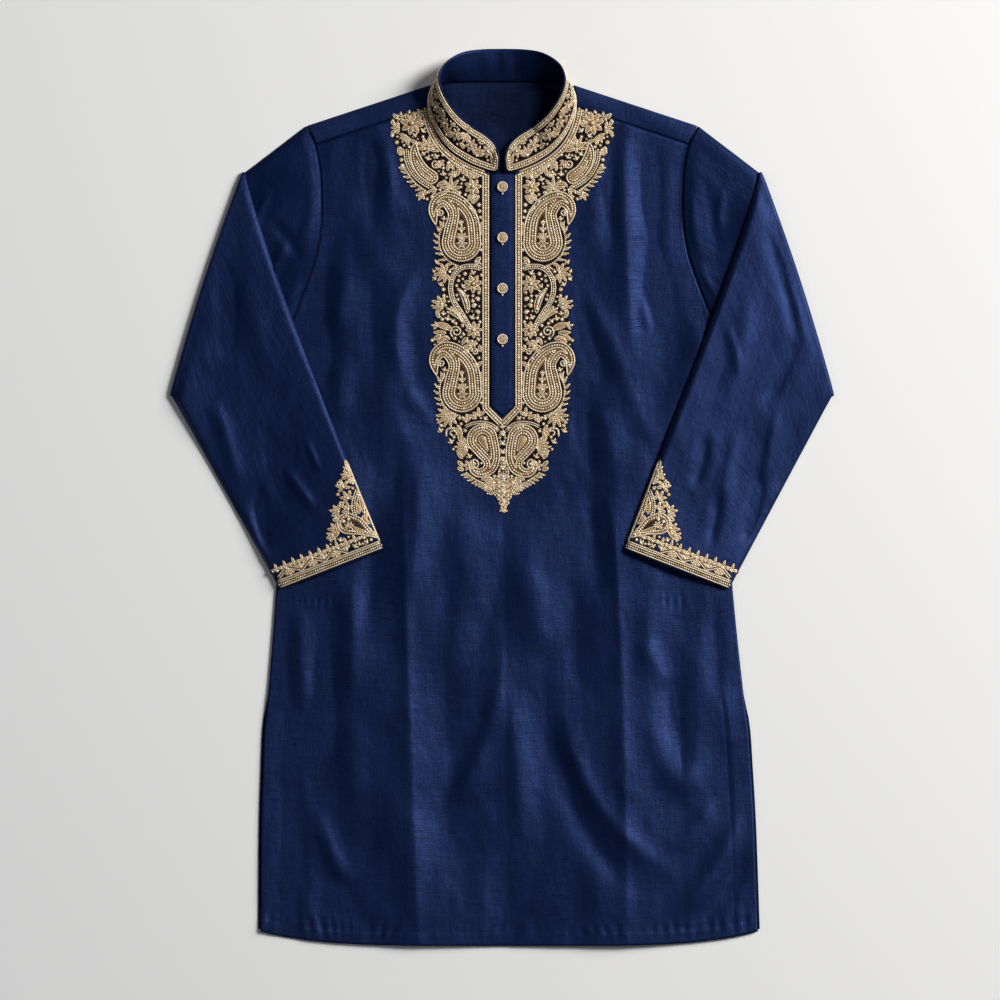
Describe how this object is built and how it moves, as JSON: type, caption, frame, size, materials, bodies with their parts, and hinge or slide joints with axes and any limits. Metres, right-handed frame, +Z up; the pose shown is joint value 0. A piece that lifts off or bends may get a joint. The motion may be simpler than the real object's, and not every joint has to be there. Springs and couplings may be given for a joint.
{
  "type": "kurta tunic",
  "caption": "Men's knee-length kurta tunic in navy slub silk with gold embroidered stand collar, placket and cuffs, laid flat face up with its sleeves folded in.",
  "frame": {"origin": "middle of the laid garment's outline, on the surface that it lies on", "axes": "+Z up from the surface, out of the front of the garment; +Y from the hem to the collar; +X towards the wearer's left sleeve"},
  "size_m": [0.7768, 1.047, 0.0385],
  "materials": {
    "silk": "navy slub silk, soft sheen",
    "silk_inside": "navy slub silk, wrong side",
    "gold_thread": "metallic gold thread, stitched",
    "gold_metal": "antique gold"
  },
  "bodies": {
    "root": {"back_panel": "silk_inside", "front_panel": "silk", "yoke_left": "silk", "yoke_right": "silk", "collar": "silk", "placket_under": "silk", "placket_strip": "silk", "button_1": "gold_metal", "button_2": "gold_metal", "button_3": "gold_metal", "button_4": "gold_metal", "chest_embroidery": "gold_thread", "collar_embroidery_left": "gold_thread", "collar_embroidery_right": "gold_thread", "sleeve_left": "silk", "sleeve_right": "silk", "cuff_embroidery_left": "gold_thread", "cuff_embroidery_right": "gold_thread"}
  },
  "joints": []
}
